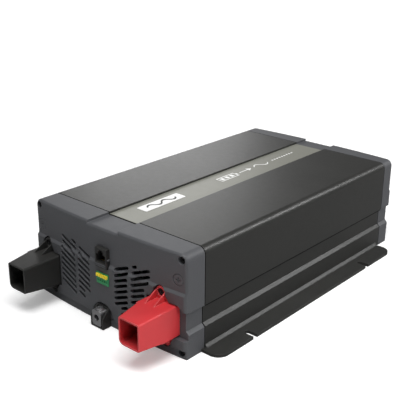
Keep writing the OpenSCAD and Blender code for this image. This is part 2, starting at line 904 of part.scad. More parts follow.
module fan_screws() {
    color(metal) for (s = [-1, 1], dx = [-fan_hole, fan_hole], dz = [-fan_hole, fan_hole]) {
        y_screw(s * fan_x + dx, fan_z + dz, fan_front + fan_d + 0.05, -fan_d - 2.8, 1.5, 2.8, 1.8);
    }
}

// ---- electronics ----

module main_board() {
    color([0.10, 0.35, 0.18]) difference() {
        block([-board_w / 2, -board_l / 2, board_z], [board_w / 2, board_l / 2, board_top]);
        for (p = standoffs) translate([p[0], p[1], board_z - 1]) cylinder(r = 1.7, h = board_t + 2);
    }
}

module board_standoffs() {
    color("gold") for (p = standoffs) translate([p[0], p[1], floor_t]) difference() {
        cylinder(r = 3.2, h = standoff_h, $fn = 6);
        translate([0, 0, 0.6]) cylinder(r = 1.6, h = standoff_h);
    }
}

module board_screws() {
    color(metal) for (p = standoffs) z_screw(p[0], p[1], board_top, standoff_h, 1.5, 2.8, 1.8);
}

sink_x = board_w / 2 - 24;
sink_front = -board_l / 2 + 40;
sink_rear = board_l / 2 - 26;
sink_t = 5;
transistors = 8;
transistor_hole_z = board_top + 23;
fin_pitch = 7.6;

// The Y place of one transistor.
function transistor_y(i) = sink_front + 14 + i * (sink_rear - sink_front - 28) / (transistors - 1);

module heatsink() {
    fins = floor((sink_h - 8) / fin_pitch);
    color([0.62, 0.63, 0.65]) difference() {
        along_y(sink_front, sink_rear) {
            translate([sink_x, board_top]) square([sink_t, sink_h]);
            for (i = [0:fins]) translate([sink_x + sink_t - 0.1, board_top + 5 + i * fin_pitch]) square([17, 1.8]);
        }
        for (i = [0:transistors - 1]) translate([sink_x - 1, transistor_y(i), transistor_hole_z])
            rotate([0, 90, 0]) cylinder(r = 1.7, h = sink_t + 2);
    }
}

module left_heatsink() {
    mirror([1, 0, 0]) heatsink();
}

module right_heatsink() {
    heatsink();
}

module power_transistors() {
    color(dark) for (s = [0, 1], i = [0:transistors - 1]) mirror([s, 0, 0]) {
        translate([sink_x - 4.6, transistor_y(i) - 5, board_top + 5]) cube([4.5, 10, 15]);
        difference() {
            translate([sink_x - 1.4, transistor_y(i) - 5, board_top + 19]) cube([1.3, 10, 7]);
            translate([sink_x - 2, transistor_y(i), transistor_hole_z]) rotate([0, 90, 0]) cylinder(r = 1.7, h = 3);
        }
        for (leg = [-2.54, 0, 2.54]) translate([sink_x - 2.6, transistor_y(i) + leg - 0.4, board_top])
            cube([0.6, 0.8, 6]);
    }
}

module transistor_screws() {
    color(metal) for (s = [0, 1], i = [0:transistors - 1]) mirror([s, 0, 0])
        translate([sink_x - 1.45, transistor_y(i), transistor_hole_z]) rotate([0, 90, 0]) {
            cylinder(r = 1.5, h = sink_t);
            translate([0, 0, -2]) cylinder(r = 2.8, h = 2);
        }
}

// A can capacitor standing on the main board, with a domed rim.
module can(x, y, r, h) {
    translate([x, y, board_top]) difference() {
        union() {
            cylinder(r = r, h = h);
            translate([0, 0, h - 0.01]) cylinder(r1 = r, r2 = r - 1, h = 0.8);
        }
        translate([0, 0, h + 0.4]) cylinder(r = r - 1.8, h = 1);
    }
}

module input_capacitors() {
    color([0.15, 0.20, 0.35]) for (col = [-2:2], row = [0, 1]) {
        can(col * 18, -board_l / 2 + 16 + row * 18, 8, 32);
    }
}

module input_fuses() {
    color([0.85, 0.35, 0.15]) for (s = [-1, 1], i = [0:2]) {
        translate([s * (board_w / 2 - 29), -board_l / 2 + 14 + i * 8.5, board_top]) {
            translate([-9.5, -2.6, 3]) cube([19, 5.2, 12]);
            for (leg = [-6.5, 6.5]) translate([leg - 2.5, -0.4, 0]) cube([5, 0.8, 3.1]);
        }
    }
}

transformers_y = [-board_l * 0.22, -board_l * 0.03];
core_w = 54;
core_d = 24;
core_h = 46;
core_leg = 9;
core_post = 16;

module transformer_cores() {
    window_w = (core_w - core_post - 2 * core_leg) / 2;
    color([0.20, 0.20, 0.21]) for (y = transformers_y) translate([0, y, board_top]) difference() {
        translate([-core_w / 2, -core_d / 2, 0]) cube([core_w, core_d, core_h]);
        for (s = [-1, 1]) translate([s * (core_post / 2 + window_w / 2), 0, core_h / 2])
            cube([window_w, core_d + 2, core_h - 2 * core_leg], center = true);
    }
}

module transformer_windings() {
    window_w = (core_w - core_post - 2 * core_leg) / 2;
    reach = window_w - 0.8;
    color([0.75, 0.62, 0.25]) for (y = transformers_y) translate([0, y, board_top + core_leg + 0.4])
        linear_extrude(core_h - 2 * core_leg - 0.8) difference() {
            round_rect(
                -core_post / 2 - reach, -core_d / 2 - reach, core_post / 2 + reach, core_d / 2 + reach, 5);
            translate([-core_post / 2 - 0.3, -core_d / 2 - 0.3]) square([core_post + 0.6, core_d + 0.6]);
        }
}

control_y = board_l * 0.09;

module control_board() {
    color([0.10, 0.35, 0.18]) block([-46, control_y, board_top], [46, control_y + board_t, board_top + 48]);
}

module control_chips() {
    color(dark) {
        block([-34, control_y - 1.6, board_top + 18], [-20, control_y - 0.05, board_top + 32]);
        block([-4, control_y - 3.4, board_top + 12], [6, control_y - 0.05, board_top + 22]);
        block([18, control_y - 1.6, board_top + 26], [26, control_y - 0.05, board_top + 38]);
    }
}

module bulk_capacitors() {
    color([0.15, 0.20, 0.35]) for (x = [-15, 15], row = [0, 1]) {
        can(x, control_y + 18 + row * 27, 12.5, 46);
    }
}

choke_y = board_l / 2 - 26;

module choke_core() {
    color([0.80, 0.72, 0.30]) translate([0, choke_y, board_top + 2.7]) rotate_extrude()
        translate([12, 0]) square([11, 16]);
}

module choke_winding() {
    color([0.72, 0.42, 0.22]) for (turn = [10, 190]) translate([0, choke_y, board_top]) rotate(turn)
        rotate_extrude(angle = 150) difference() {
            translate([9.4, 0]) square([16.2, 21.4]);
            translate([11.8, 2.5]) square([11.4, 16.4]);
        }
}

// ---- outlet end ----

module outlet_body() {
    face = outlet_seat + 4.5;
    well = face - outlet_d;
    color([0.12, 0.12, 0.13]) difference() {
        union() {
            along_y(outlet_seat + 0.05, face)
                round_rect(outlet_x - 25, outlet_z - 25, outlet_x + 25, outlet_z + 25, 4);
            y_rod(outlet_x, outlet_z, outlet_r + 1.7, well - 3, outlet_seat + 1);
        }
        y_rod(outlet_x, outlet_z, outlet_r, well, face + 1);
        for (s = [-1, 1]) {
            y_rod(outlet_x + s * 9.5, outlet_z, 2.75, well - 4, well + 1);
            y_rod(outlet_x + s * 21, outlet_z + s * 21, 1.7, outlet_seat - 1, face + 1);
            y_rod(outlet_x + s * 21, outlet_z + s * 21, 3.2, face - 2, face + 1);
            translate([outlet_x, 0, outlet_z]) rotate([0, s * 90, 0])
                block([outlet_r - 3, well - 4, -2.6], [outlet_r + 0.9, face - 3, 2.6]);
        }
    }
}

module outlet_sleeves() {
    well = outlet_seat + 4.5 - outlet_d;
    color("gold") for (s = [-1, 1]) difference() {
        y_rod(outlet_x + s * 9.5, outlet_z, 2.65, well - 10, well - 0.4);
        y_rod(outlet_x + s * 9.5, outlet_z, 2.4, well - 8, well);
    }
}

module outlet_earth_clips() {
    well = outlet_seat + 4.5 - outlet_d;
    color(metal) for (s = [-1, 1]) translate([outlet_x, 0, outlet_z]) rotate([0, s * 90, 0])
        block([outlet_r + 0.1, well - 3.8, -2.4], [outlet_r + 0.8, outlet_seat + 1.3, 2.4]);
}

module outlet_screws() {
    color(metal) for (s = [-1, 1])
        y_screw(outlet_x + s * 21, outlet_z + s * 21, outlet_seat + 2.5, -7.5, 1.5, 3, 1.7);
}

module outlet_leads() {
    well = outlet_seat + 4.5 - outlet_d;
    start = board_l / 2 - 7;
    color([0.75, 0.72, 0.66]) for (s = [-1, 1]) {
        x = outlet_x + s * 9.5;
        translate([x, start, board_top]) cylinder(r = 1.6, h = outlet_z - board_top);
        translate([x, start, outlet_z]) sphere(1.6);
        y_rod(x, outlet_z, 1.6, start, well - 10.02);
    }
}

rocker_y = outlet_seat + 1.5;

module switch_housing() {
    face = outlet_seat + 3.6;
    color([0.10, 0.10, 0.10]) difference() {
        union() {
            along_y(outlet_seat + 0.05, face) round_rect(-8.3, switch_z - 11.8, 8.3, switch_z + 11.8, 2);
            along_y(outlet_seat - 14, outlet_seat + 1) translate([-6.7, switch_z - 10.4]) square([13.4, 20.8]);
        }
        along_y(outlet_seat - 12, face + 1) translate([-5.5, switch_z - 9.5]) square([11, 19]);
        translate([-6.4, rocker_y, switch_z]) rotate([0, 90, 0]) cylinder(r = 1.25, h = 12.8);
    }
}

module power_rocker() {
    color([0.16, 0.16, 0.17]) translate([0, rocker_y, switch_z]) rotate([rocker_tilt, 0, 0]) {
        rotate([90, 0, 90]) translate([0, 0, -5.2]) linear_extrude(10.4) polygon([
            [-5, -5.6], [-5, 5.6], [0, 8.4], [5.2, 8.2], [2.9, 0], [5.2, -8.2], [0, -8.4]
        ]);
        translate([-6.2, 0, 0]) rotate([0, 90, 0]) cylinder(r = 1.2, h = 12.4);
    }
}

module status_lens() {
    face = rear_y + bow;
    color([0.20, 0.75, 0.35]) {
        y_rod(0, lens_z, 2.5, rear_y - 5, face + ledge_d + 0.4);
        translate([0, face + ledge_d + 0.4, lens_z]) sphere(2.5);
    }
}

base_chassis();
top_cover();
label_strip();
front_cap();
rear_cap();
front_cap_screws();
rear_cap_screws();
positive_cover();
negative_cover();
positive_cover_screws();
negative_cover_screws();
positive_busbar();
negative_busbar();
positive_terminal_plate();
negative_terminal_plate();
data_jack();
data_jack_contacts();
spring_terminal();
wire_clamps();
release_button(1);  // release_button_1
release_button(2);  // release_button_2
release_button(3);  // release_button_3
release_button(4);  // release_button_4
release_button(5);  // release_button_5
port_board();
port_board_screws();
ground_bracket();
ground_lug();
ground_screw();
left_fan_frame();
right_fan_frame();
left_fan_rotor();
right_fan_rotor();
fan_screws();
main_board();
board_standoffs();
board_screws();
left_heatsink();
right_heatsink();
power_transistors();
transistor_screws();
input_capacitors();
input_fuses();
transformer_cores();
transformer_windings();
control_board();
control_chips();
bulk_capacitors();
choke_core();
choke_winding();
outlet_body();
outlet_sleeves();
outlet_earth_clips();
outlet_screws();
outlet_leads();
switch_housing();
power_rocker();
status_lens();
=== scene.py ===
import json
from math import cos, pi, radians, sin, sqrt

import bmesh
import bpy
from mathutils import Matrix, Vector

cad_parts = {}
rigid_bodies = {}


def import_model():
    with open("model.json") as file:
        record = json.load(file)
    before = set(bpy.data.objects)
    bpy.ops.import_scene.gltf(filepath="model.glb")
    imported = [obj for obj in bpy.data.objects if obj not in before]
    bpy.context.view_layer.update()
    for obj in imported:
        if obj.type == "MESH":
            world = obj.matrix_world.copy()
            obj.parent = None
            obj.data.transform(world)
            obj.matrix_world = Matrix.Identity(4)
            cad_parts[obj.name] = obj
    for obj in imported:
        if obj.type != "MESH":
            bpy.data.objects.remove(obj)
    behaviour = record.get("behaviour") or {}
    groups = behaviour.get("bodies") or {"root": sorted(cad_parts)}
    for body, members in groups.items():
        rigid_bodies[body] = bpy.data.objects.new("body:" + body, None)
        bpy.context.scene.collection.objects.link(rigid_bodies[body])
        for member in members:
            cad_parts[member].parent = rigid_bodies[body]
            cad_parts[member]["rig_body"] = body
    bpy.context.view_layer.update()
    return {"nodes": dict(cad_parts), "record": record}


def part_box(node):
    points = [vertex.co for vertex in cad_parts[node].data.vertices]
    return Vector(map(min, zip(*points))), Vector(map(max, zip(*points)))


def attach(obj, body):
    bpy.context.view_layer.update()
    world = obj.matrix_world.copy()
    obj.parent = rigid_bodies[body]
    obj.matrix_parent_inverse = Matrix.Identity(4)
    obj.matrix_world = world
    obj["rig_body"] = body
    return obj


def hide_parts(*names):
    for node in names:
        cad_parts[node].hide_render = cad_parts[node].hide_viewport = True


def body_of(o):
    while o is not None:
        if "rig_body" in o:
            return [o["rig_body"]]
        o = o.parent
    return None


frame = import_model()

mm = 0.001
scene = bpy.context.scene
nodes = frame["nodes"]
bodyOf = {name: body_of(item)[0] for name, item in nodes.items()}


# camera and studio

cameraSet = {"place": (0.4957, -0.6078, 0.3759), "turn": 41.43, "tip": 68.89, "roll": 0.36, "lens": 70.46}


def makeCamera(look):
    data = bpy.data.cameras.new("studioCamera")
    data.lens = look["lens"]
    data.sensor_width = 36
    data.clip_end = 50
    camera = bpy.data.objects.new("studioCamera", data)
    camera.matrix_world = (
        Matrix.Translation(look["place"])
        @ Matrix.Rotation(radians(look["turn"]), 4, "Z")
        @ Matrix.Rotation(radians(look["tip"]), 4, "X")
        @ Matrix.Rotation(radians(look["roll"]), 4, "Z")
    )
    scene.collection.objects.link(camera)
    scene.camera = camera


# place, size across and up, power in watts
lightSet = {
    "backSoftbox": {"place": (-1.50, 1.39, 0.70), "size": (0.7, 0.7), "power": 5.2},
    "topSoftbox": {"place": (0.32, -0.50, 1.50), "size": (1.1, 0.6), "power": 21.5},
    "rightSoftbox": {"place": (1.75, -0.25, 0.75), "size": (0.8, 0.6), "power": 6.5},
    "rimSoftbox": {"place": (0.90, 1.19, 1.05), "size": (0.5, 0.4), "power": 12.5},
}


def makeLights(lights):
    aim = Vector((0, 0, 0.05))
    for name, look in lights.items():
        data = bpy.data.lights.new(name, "AREA")
        data.shape = "RECTANGLE"
        data.size, data.size_y = look["size"]
        data.energy = look["power"]
        lamp = bpy.data.objects.new(name, data)
        place = Vector(look["place"])
        lamp.matrix_world = Matrix.Translation(place) @ (aim - place).to_track_quat("-Z", "Y").to_matrix().to_4x4()
        scene.collection.objects.link(lamp)


# shader helpers

def addNode(tree, kind, sockets=None, **settings):
    made = tree.nodes.new("ShaderNode" + kind)
    for key, value in settings.items():
        setattr(made, key, value)
    for key, value in (sockets or {}).items():
        if isinstance(value, bpy.types.NodeSocket):
            tree.links.new(value, made.inputs[key])
        else:
            made.inputs[key].default_value = value
    return made


def addGroup(tree, group, sockets):
    made = addNode(tree, "Group", node_tree=group)
    for key, value in sockets.items():
        if isinstance(value, bpy.types.NodeSocket):
            tree.links.new(value, made.inputs[key])
        else:
            made.inputs[key].default_value = value
    return made


def startGroup(name, takes, gives):
    group = bpy.data.node_groups.new(name, "ShaderNodeTree")
    for label, value in takes.items():
        kind = "NodeSocketVector" if value is None else "NodeSocketFloat"
        socket = group.interface.new_socket(label, in_out="INPUT", socket_type=kind)
        if value is not None:
            socket.default_value = value
    for label, kind in gives.items():
        group.interface.new_socket(label, in_out="OUTPUT", socket_type="NodeSocket" + kind)
    return group, group.nodes.new("NodeGroupInput").outputs, group.nodes.new("NodeGroupOutput").inputs


def makeMouldGrain():
    # fine moulded or powder-coated grain: soft cells with finer noise on them
    group, taken, given = startGroup(
        "mouldGrain", {"Vector": None, "Scale": 900.0, "Fine": 0.4}, {"Height": "Float", "Speckle": "Float"})
    cells = addNode(group, "TexVoronoi", {"Vector": taken["Vector"], "Scale": taken["Scale"]}, feature="SMOOTH_F1")
    finer = addNode(group, "Math", {0: taken["Scale"], 1: 2.7}, operation="MULTIPLY")
    noise = addNode(group, "TexNoise", {"Vector": taken["Vector"], "Scale": finer.outputs[0], "Detail": 3.0})
    mixed = addNode(
        group, "Mix", {"Factor": taken["Fine"], "A": cells.outputs["Distance"], "B": noise.outputs["Fac"]})
    group.links.new(mixed.outputs["Result"], given["Height"])
    group.links.new(noise.outputs["Fac"], given["Speckle"])
    return group


def makeToneDrift():
    # slow change over a surface, between two values
    group, taken, given = startGroup(
        "toneDrift", {"Vector": None, "Scale": 14.0, "Low": 0.9, "High": 1.1}, {"Value": "Float"})
    noise = addNode(group, "TexNoise", {"Vector": taken["Vector"], "Scale": taken["Scale"], "Detail": 4.0})
    spread = addNode(group, "MapRange", {
        "Value": noise.outputs["Fac"], "From Min": 0.3, "From Max": 0.7,
        "To Min": taken["Low"], "To Max": taken["High"]})
    group.links.new(spread.outputs["Result"], given["Value"])
    return group


def makeEdgeFinish():
    # softened edges, and a mask that is strongest on them and broken up by noise
    group, taken, given = startGroup(
        "edgeFinish", {"Vector": None, "Radius": 0.0005, "Breakup": 60.0}, {"Normal": "Vector", "Edge": "Float"})
    soft = addNode(group, "Bevel", {"Radius": taken["Radius"]}, samples=6)
    flat = addNode(group, "NewGeometry")
    same = addNode(
        group, "VectorMath", {0: soft.outputs["Normal"], 1: flat.outputs["Normal"]}, operation="DOT_PRODUCT")
    turned = addNode(group, "MapRange", {
        "Value": same.outputs["Value"], "From Min": 1.0, "From Max": 0.75, "To Min": 0.0, "To Max": 1.0})
    noise = addNode(group, "TexNoise", {"Vector": taken["Vector"], "Scale": taken["Breakup"], "Detail": 5.0})
    patchy = addNode(group, "MapRange", {
        "Value": noise.outputs["Fac"], "From Min": 0.35, "From Max": 0.65, "To Min": 0.35, "To Max": 1.0})
    mask = addNode(group, "Math", {0: turned.outputs["Result"], 1: patchy.outputs["Result"]}, operation="MULTIPLY")
    group.links.new(soft.outputs["Normal"], given["Normal"])
    group.links.new(mask.outputs[0], given["Edge"])
    return group


def makeDust():
    # a thin film on what faces up, gathered in soft patches
    group, taken, given = startGroup("dust", {"Vector": None, "Scale": 22.0, "Amount": 0.1}, {"Mask": "Float"})
    noise = addNode(group, "TexNoise", {"Vector": taken["Vector"], "Scale": taken["Scale"], "Detail": 7.0})
    patches = addNode(group, "MapRange", {"Value": noise.outputs["Fac"], "From Min": 0.42, "From Max": 0.72})
    facing = addNode(group, "SeparateXYZ", {"Vector": addNode(group, "NewGeometry").outputs["Normal"]})
    upward = addNode(group, "MapRange", {"Value": facing.outputs["Z"], "From Min": 0.2, "From Max": 0.9})
    both = addNode(group, "Math", {0: patches.outputs["Result"], 1: upward.outputs["Result"]}, operation="MULTIPLY")
    thin = addNode(group, "Math", {0: both.outputs[0], 1: taken["Amount"]}, operation="MULTIPLY")
    group.links.new(thin.outputs[0], given["Mask"])
    return group


def makeBrushLines():
    # fine straight lines left by rolling or drawing
    group, taken, given = startGroup(
        "brushLines", {"Vector": None, "Across": 2200.0, "Along": 40.0}, {"Height": "Float"})
    stretch = addNode(group, "CombineXYZ", {"X": taken["Across"], "Y": taken["Along"], "Z": taken["Across"]})
    drawn = addNode(group, "VectorMath", {0: taken["Vector"], 1: stretch.outputs["Vector"]}, operation="MULTIPLY")
    noise = addNode(group, "TexNoise", {"Vector": drawn.outputs["Vector"], "Scale": 1.0, "Detail": 2.0})
    group.links.new(noise.outputs["Fac"], given["Height"])
    return group


mouldGrain = makeMouldGrain()
toneDrift = makeToneDrift()
edgeFinish = makeEdgeFinish()
dust = makeDust()
brushLines = makeBrushLines()


def newMaterial(name):
    material = bpy.data.materials.new(name)
    material.use_nodes = True
    tree = material.node_tree
    shader = tree.nodes["Principled BSDF"]
    coords = addNode(tree, "TexCoord").outputs["Object"]
    return material, tree, shader, coords


def mixColour(tree, factor, first, second, blend="MIX"):
    mixed = addNode(tree, "Mix", data_type="RGBA", blend_type=blend)
    for index, value in ((0, factor), (6, first), (7, second)):
        if isinstance(value, bpy.types.NodeSocket):
            tree.links.new(value, mixed.inputs[index])
        else:
            mixed.inputs[index].default_value = value if index == 0 else (*value, 1)
    return mixed.outputs[2]


def greyOf(tree, value):
    return addNode(tree, "CombineColor", {"Red": value, "Green": value, "Blue": value}).outputs["Color"]


def coatedFinish(name, look):
    # paint, powder coat and moulded plastic
    material, tree, shader, coords = newMaterial(name)
    grain = addGroup(tree, mouldGrain, {"Vector": coords, "Scale": look["grain"], "Fine": 0.45})
    edge = addGroup(tree, edgeFinish, {"Vector": coords, "Radius": look["soft"] * mm, "Breakup": 70.0})
    tone = addGroup(tree, toneDrift, {"Vector": coords, "Scale": 11.0, "Low": 0.97, "High": 1.03})
    film = addGroup(tree, dust, {"Vector": coords, "Scale": 26.0, "Amount": look["dust"]})
    speckle = addNode(tree, "MapRange", {
        "Value": grain.outputs["Speckle"], "From Min": 0.3, "From Max": 0.7,
        "To Min": 1 - look["speckle"], "To Max": 1 + look["speckle"]})
    drifted = mixColour(tree, 1.0, look["colour"], greyOf(tree, tone.outputs["Value"]), "MULTIPLY")
    speckled = mixColour(tree, 1.0, drifted, greyOf(tree, speckle.outputs["Result"]), "MULTIPLY")
    # the lighter edge colour stands partly for wear and partly for a painted highlight along the edges
    edgeWearAndSheenMask = addNode(tree, "Math", {0: edge.outputs["Edge"], 1: look["edgeWearAndSheen"]}, operation="MULTIPLY")
    wornAndSheened = mixColour(tree, edgeWearAndSheenMask.outputs[0], speckled, look["edgeColour"])
    dusted = mixColour(tree, film.outputs["Mask"], wornAndSheened, (0.30, 0.29, 0.27))
    tree.links.new(dusted, shader.inputs["Base Color"])
    gloss = addGroup(tree, toneDrift, {
        "Vector": coords, "Scale": 160.0, "Low": look["rough"] - 0.015, "High": look["rough"] + 0.015})
    dulled = addNode(tree, "Math", {0: gloss.outputs["Value"], 1: film.outputs["Mask"]}, operation="ADD")
    tree.links.new(dulled.outputs[0], shader.inputs["Roughness"])
    shader.inputs["Specular IOR Level"].default_value = look["gloss"]
    bump = addNode(tree, "Bump", {
        "Strength": look["bump"], "Distance": 0.00012,
        "Height": grain.outputs["Height"], "Normal": edge.outputs["Normal"]})
    tree.links.new(bump.outputs["Normal"], shader.inputs["Normal"])
    return material


def metalFinish(name, look):
    material, tree, shader, coords = newMaterial(name)
    lines = addGroup(tree, brushLines, {"Vector": coords, "Across": look["across"], "Along": look["along"]})
    edge = addGroup(tree, edgeFinish, {"Vector": coords, "Radius": look["soft"] * mm, "Breakup": 90.0})
    tone = addGroup(tree, toneDrift, {"Vector": coords, "Scale": 45.0, "Low": 0.85, "High": 1.08})
    tinted = mixColour(tree, 1.0, look["colour"], greyOf(tree, tone.outputs["Value"]), "MULTIPLY")
    bright = mixColour(tree, edge.outputs["Edge"], tinted, look["edgeColour"])
    tree.links.new(bright, shader.inputs["Base Color"])
    gloss = addNode(tree, "MapRange", {
        "Value": lines.outputs["Height"], "From Min": 0.3, "From Max": 0.7,
        "To Min": look["rough"] - 0.07, "To Max": look["rough"] + 0.09})
    tree.links.new(gloss.outputs["Result"], shader.inputs["Roughness"])
    shader.inputs["Metallic"].default_value = look["metal"]
    bump = addNode(tree, "Bump", {
        "Strength": look["bump"], "Distance": 0.00008,
        "Height": lines.outputs["Height"], "Normal": edge.outputs["Normal"]})
    tree.links.new(bump.outputs["Normal"], shader.inputs["Normal"])
    return material


def boardFinish(name, look):
    # solder mask over copper: straight tracks, ground areas between them and round pads
    material, tree, shader, coords = newMaterial(name)
    tracks = addNode(tree, "TexBrick", {
        "Vector": coords, "Scale": look["tracks"], "Mortar Size": 0.06, "Mortar Smooth": 0.1,
        "Brick Width": 0.9, "Row Height": 0.22, "Color1": (0, 0, 0, 1), "Color2": (0.3, 0.3, 0.3, 1),
        "Mortar": (1, 1, 1, 1)})
    pads = addNode(tree, "TexVoronoi", {"Vector": coords, "Scale": look["pads"], "Randomness": 0.7})
    dots = addNode(tree, "Math", {0: pads.outputs["Distance"], 1: 0.2}, operation="LESS_THAN")
    copper = mixColour(tree, tracks.outputs["Color"], look["colour"], look["trackColour"])
    padded = mixColour(tree, dots.outputs[0], copper, look["padColour"])
    tree.links.new(padded, shader.inputs["Base Color"])
    tree.links.new(dots.outputs[0], shader.inputs["Metallic"])
    gloss = addGroup(tree, toneDrift, {"Vector": coords, "Scale": 60.0, "Low": 0.28, "High": 0.40})
    tree.links.new(gloss.outputs["Value"], shader.inputs["Roughness"])
    bump = addNode(tree, "Bump", {"Strength": 0.3, "Distance": 0.0001, "Height": tracks.outputs["Fac"]})
    tree.links.new(bump.outputs["Normal"], shader.inputs["Normal"])
    return material


def windingFinish(name, look):
    # turns of enamelled wire laid side by side
    material, tree, shader, coords = newMaterial(name)
    turns = addNode(tree, "TexWave", {
        "Vector": coords, "Scale": look["turns"], "Distortion": 0.6, "Detail": 1.0, "Detail Scale": 0.4},
        bands_direction=look["across"], wave_profile="SIN")
    dark = tuple(0.35 * part for part in look["colour"])
    wires = mixColour(tree, turns.outputs["Fac"], dark, look["colour"])
    tree.links.new(wires, shader.inputs["Base Color"])
    shader.inputs["Metallic"].default_value = 0.75
    gloss = addGroup(tree, toneDrift, {"Vector": coords, "Scale": 50.0, "Low": 0.25, "High": 0.42})
    tree.links.new(gloss.outputs["Value"], shader.inputs["Roughness"])
    bump = addNode(tree, "Bump", {"Strength": 0.9, "Distance": 0.0006, "Height": turns.outputs["Fac"]})
    tree.links.new(bump.outputs["Normal"], shader.inputs["Normal"])
    return material


def canFinish(name, look):
    # a shrunk sleeve with a bare metal top
    material, tree, shader, coords = newMaterial(name)
    facing = addNode(tree, "SeparateXYZ", {"Vector": addNode(tree, "NewGeometry").outputs["Normal"]})
    bare = addNode(tree, "Math", {0: facing.outputs["Z"], 1: 0.6}, operation="GREATER_THAN")
    tone = addGroup(tree, toneDrift, {"Vector": coords, "Scale": 30.0, "Low": 0.9, "High": 1.1})
    sleeve = mixColour(tree, 1.0, look["colour"], greyOf(tree, tone.outputs["Value"]), "MULTIPLY")
    tree.links.new(mixColour(tree, bare.outputs[0], sleeve, look["topColour"]), shader.inputs["Base Color"])
    tree.links.new(bare.outputs[0], shader.inputs["Metallic"])
    gloss = addGroup(tree, toneDrift, {"Vector": coords, "Scale": 80.0, "Low": 0.3, "High": 0.42})
    tree.links.new(gloss.outputs["Value"], shader.inputs["Roughness"])
    return material


coated = {
    "chassis_metal": {
        "colour": (0.020, 0.020, 0.0185), "edgeColour": (0.09, 0.09, 0.087), "edgeWearAndSheen": 0.45, "rough": 0.42,
        "gloss": 0.42, "grain": 1500.0, "speckle": 0.22, "soft": 0.5, "bump": 0.35, "dust": 0.02},
    "cover_metal": {
        "colour": (0.019, 0.019, 0.0175), "edgeColour": (0.06, 0.06, 0.058), "edgeWearAndSheen": 0.2, "rough": 0.40,
        "gloss": 0.43, "grain": 1700.0, "speckle": 0.22, "soft": 0.5, "bump": 0.30, "dust": 0.012},
    "label_film": {
        "colour": (0.185, 0.185, 0.158), "edgeColour": (0.30, 0.30, 0.27), "edgeWearAndSheen": 0.3, "rough": 0.40,
        "gloss": 0.40, "grain": 2400.0, "speckle": 0.06, "soft": 0.2, "bump": 0.12, "dust": 0.03},
    "slate_plastic": {
        "colour": (0.072, 0.074, 0.080), "edgeColour": (0.20, 0.205, 0.215), "edgeWearAndSheen": 0.5, "rough": 0.52,
        "gloss": 0.42, "grain": 1100.0, "speckle": 0.10, "soft": 0.5, "bump": 0.45, "dust": 0.02},
    # the red cover's pale pink edge colour at full strength is a painted highlight along its edges, on top of some
    # wear
    "red_plastic": {
        "colour": (0.58, 0.036, 0.042), "edgeColour": (0.92, 0.36, 0.36), "edgeWearAndSheen": 0.9, "rough": 0.36,
        "gloss": 0.5, "grain": 700.0, "speckle": 0.03, "soft": 0.6, "bump": 0.16, "dust": 0.04},
    "black_plastic": {
        "colour": (0.020, 0.020, 0.019), "edgeColour": (0.09, 0.09, 0.088), "edgeWearAndSheen": 0.5, "rough": 0.36,
        "gloss": 0.5, "grain": 800.0, "speckle": 0.08, "soft": 0.4, "bump": 0.18, "dust": 0.05},
    "green_plastic": {
        "colour": (0.030, 0.260, 0.095), "edgeColour": (0.12, 0.45, 0.22), "edgeWearAndSheen": 0.5, "rough": 0.34,
        "gloss": 0.5, "grain": 1500.0, "speckle": 0.04, "soft": 0.2, "bump": 0.12, "dust": 0.03},
    "yellow_plastic": {
        "colour": (0.84, 0.66, 0.030), "edgeColour": (0.95, 0.85, 0.30), "edgeWearAndSheen": 0.5, "rough": 0.34,
        "gloss": 0.5, "grain": 1500.0, "speckle": 0.03, "soft": 0.15, "bump": 0.10, "dust": 0.02},
    "fuse_plastic": {
        "colour": (0.74, 0.20, 0.035), "edgeColour": (0.85, 0.40, 0.15), "edgeWearAndSheen": 0.4, "rough": 0.30,
        "gloss": 0.5, "grain": 1200.0, "speckle": 0.04, "soft": 0.3, "bump": 0.12, "dust": 0.03},
    "ferrite": {
        "colour": (0.045, 0.045, 0.048), "edgeColour": (0.14, 0.14, 0.14), "edgeWearAndSheen": 0.6, "rough": 0.62,
        "gloss": 0.35, "grain": 900.0, "speckle": 0.25, "soft": 0.5, "bump": 0.55, "dust": 0.05},
    "lead_insulation": {
        "colour": (0.42, 0.39, 0.33), "edgeColour": (0.50, 0.47, 0.42), "edgeWearAndSheen": 0.3, "rough": 0.50,
        "gloss": 0.40, "grain": 1300.0, "speckle": 0.05, "soft": 0.2, "bump": 0.12, "dust": 0.04},
    "lens_plastic": {
        "colour": (0.10, 0.50, 0.16), "edgeColour": (0.35, 0.75, 0.42), "edgeWearAndSheen": 0.4, "rough": 0.14,
        "gloss": 0.6, "grain": 500.0, "speckle": 0.02, "soft": 0.2, "bump": 0.05, "dust": 0.01},
    "badgeWhite": {
        "colour": (0.78, 0.78, 0.77), "edgeColour": (0.86, 0.86, 0.86), "edgeWearAndSheen": 0.3, "rough": 0.42,
        "gloss": 0.4, "grain": 2400.0, "speckle": 0.02, "soft": 0.1, "bump": 0.08, "dust": 0.02},
    # near-black finish for the strips under the cover's edges: painted shadow of the seam gap
    "seamShadowBlack": {
        "colour": (0.005, 0.005, 0.005), "edgeColour": (0.02, 0.02, 0.02), "edgeWearAndSheen": 0.1, "rough": 0.85,
        "gloss": 0.1, "grain": 1600.0, "speckle": 0.10, "soft": 0.1, "bump": 0.20, "dust": 0.01},
    "badgeInk": {
        "colour": (0.055, 0.055, 0.055), "edgeColour": (0.08, 0.08, 0.08), "edgeWearAndSheen": 0.2, "rough": 0.50,
        "gloss": 0.35, "grain": 2400.0, "speckle": 0.05, "soft": 0.1, "bump": 0.08, "dust": 0.02},
}
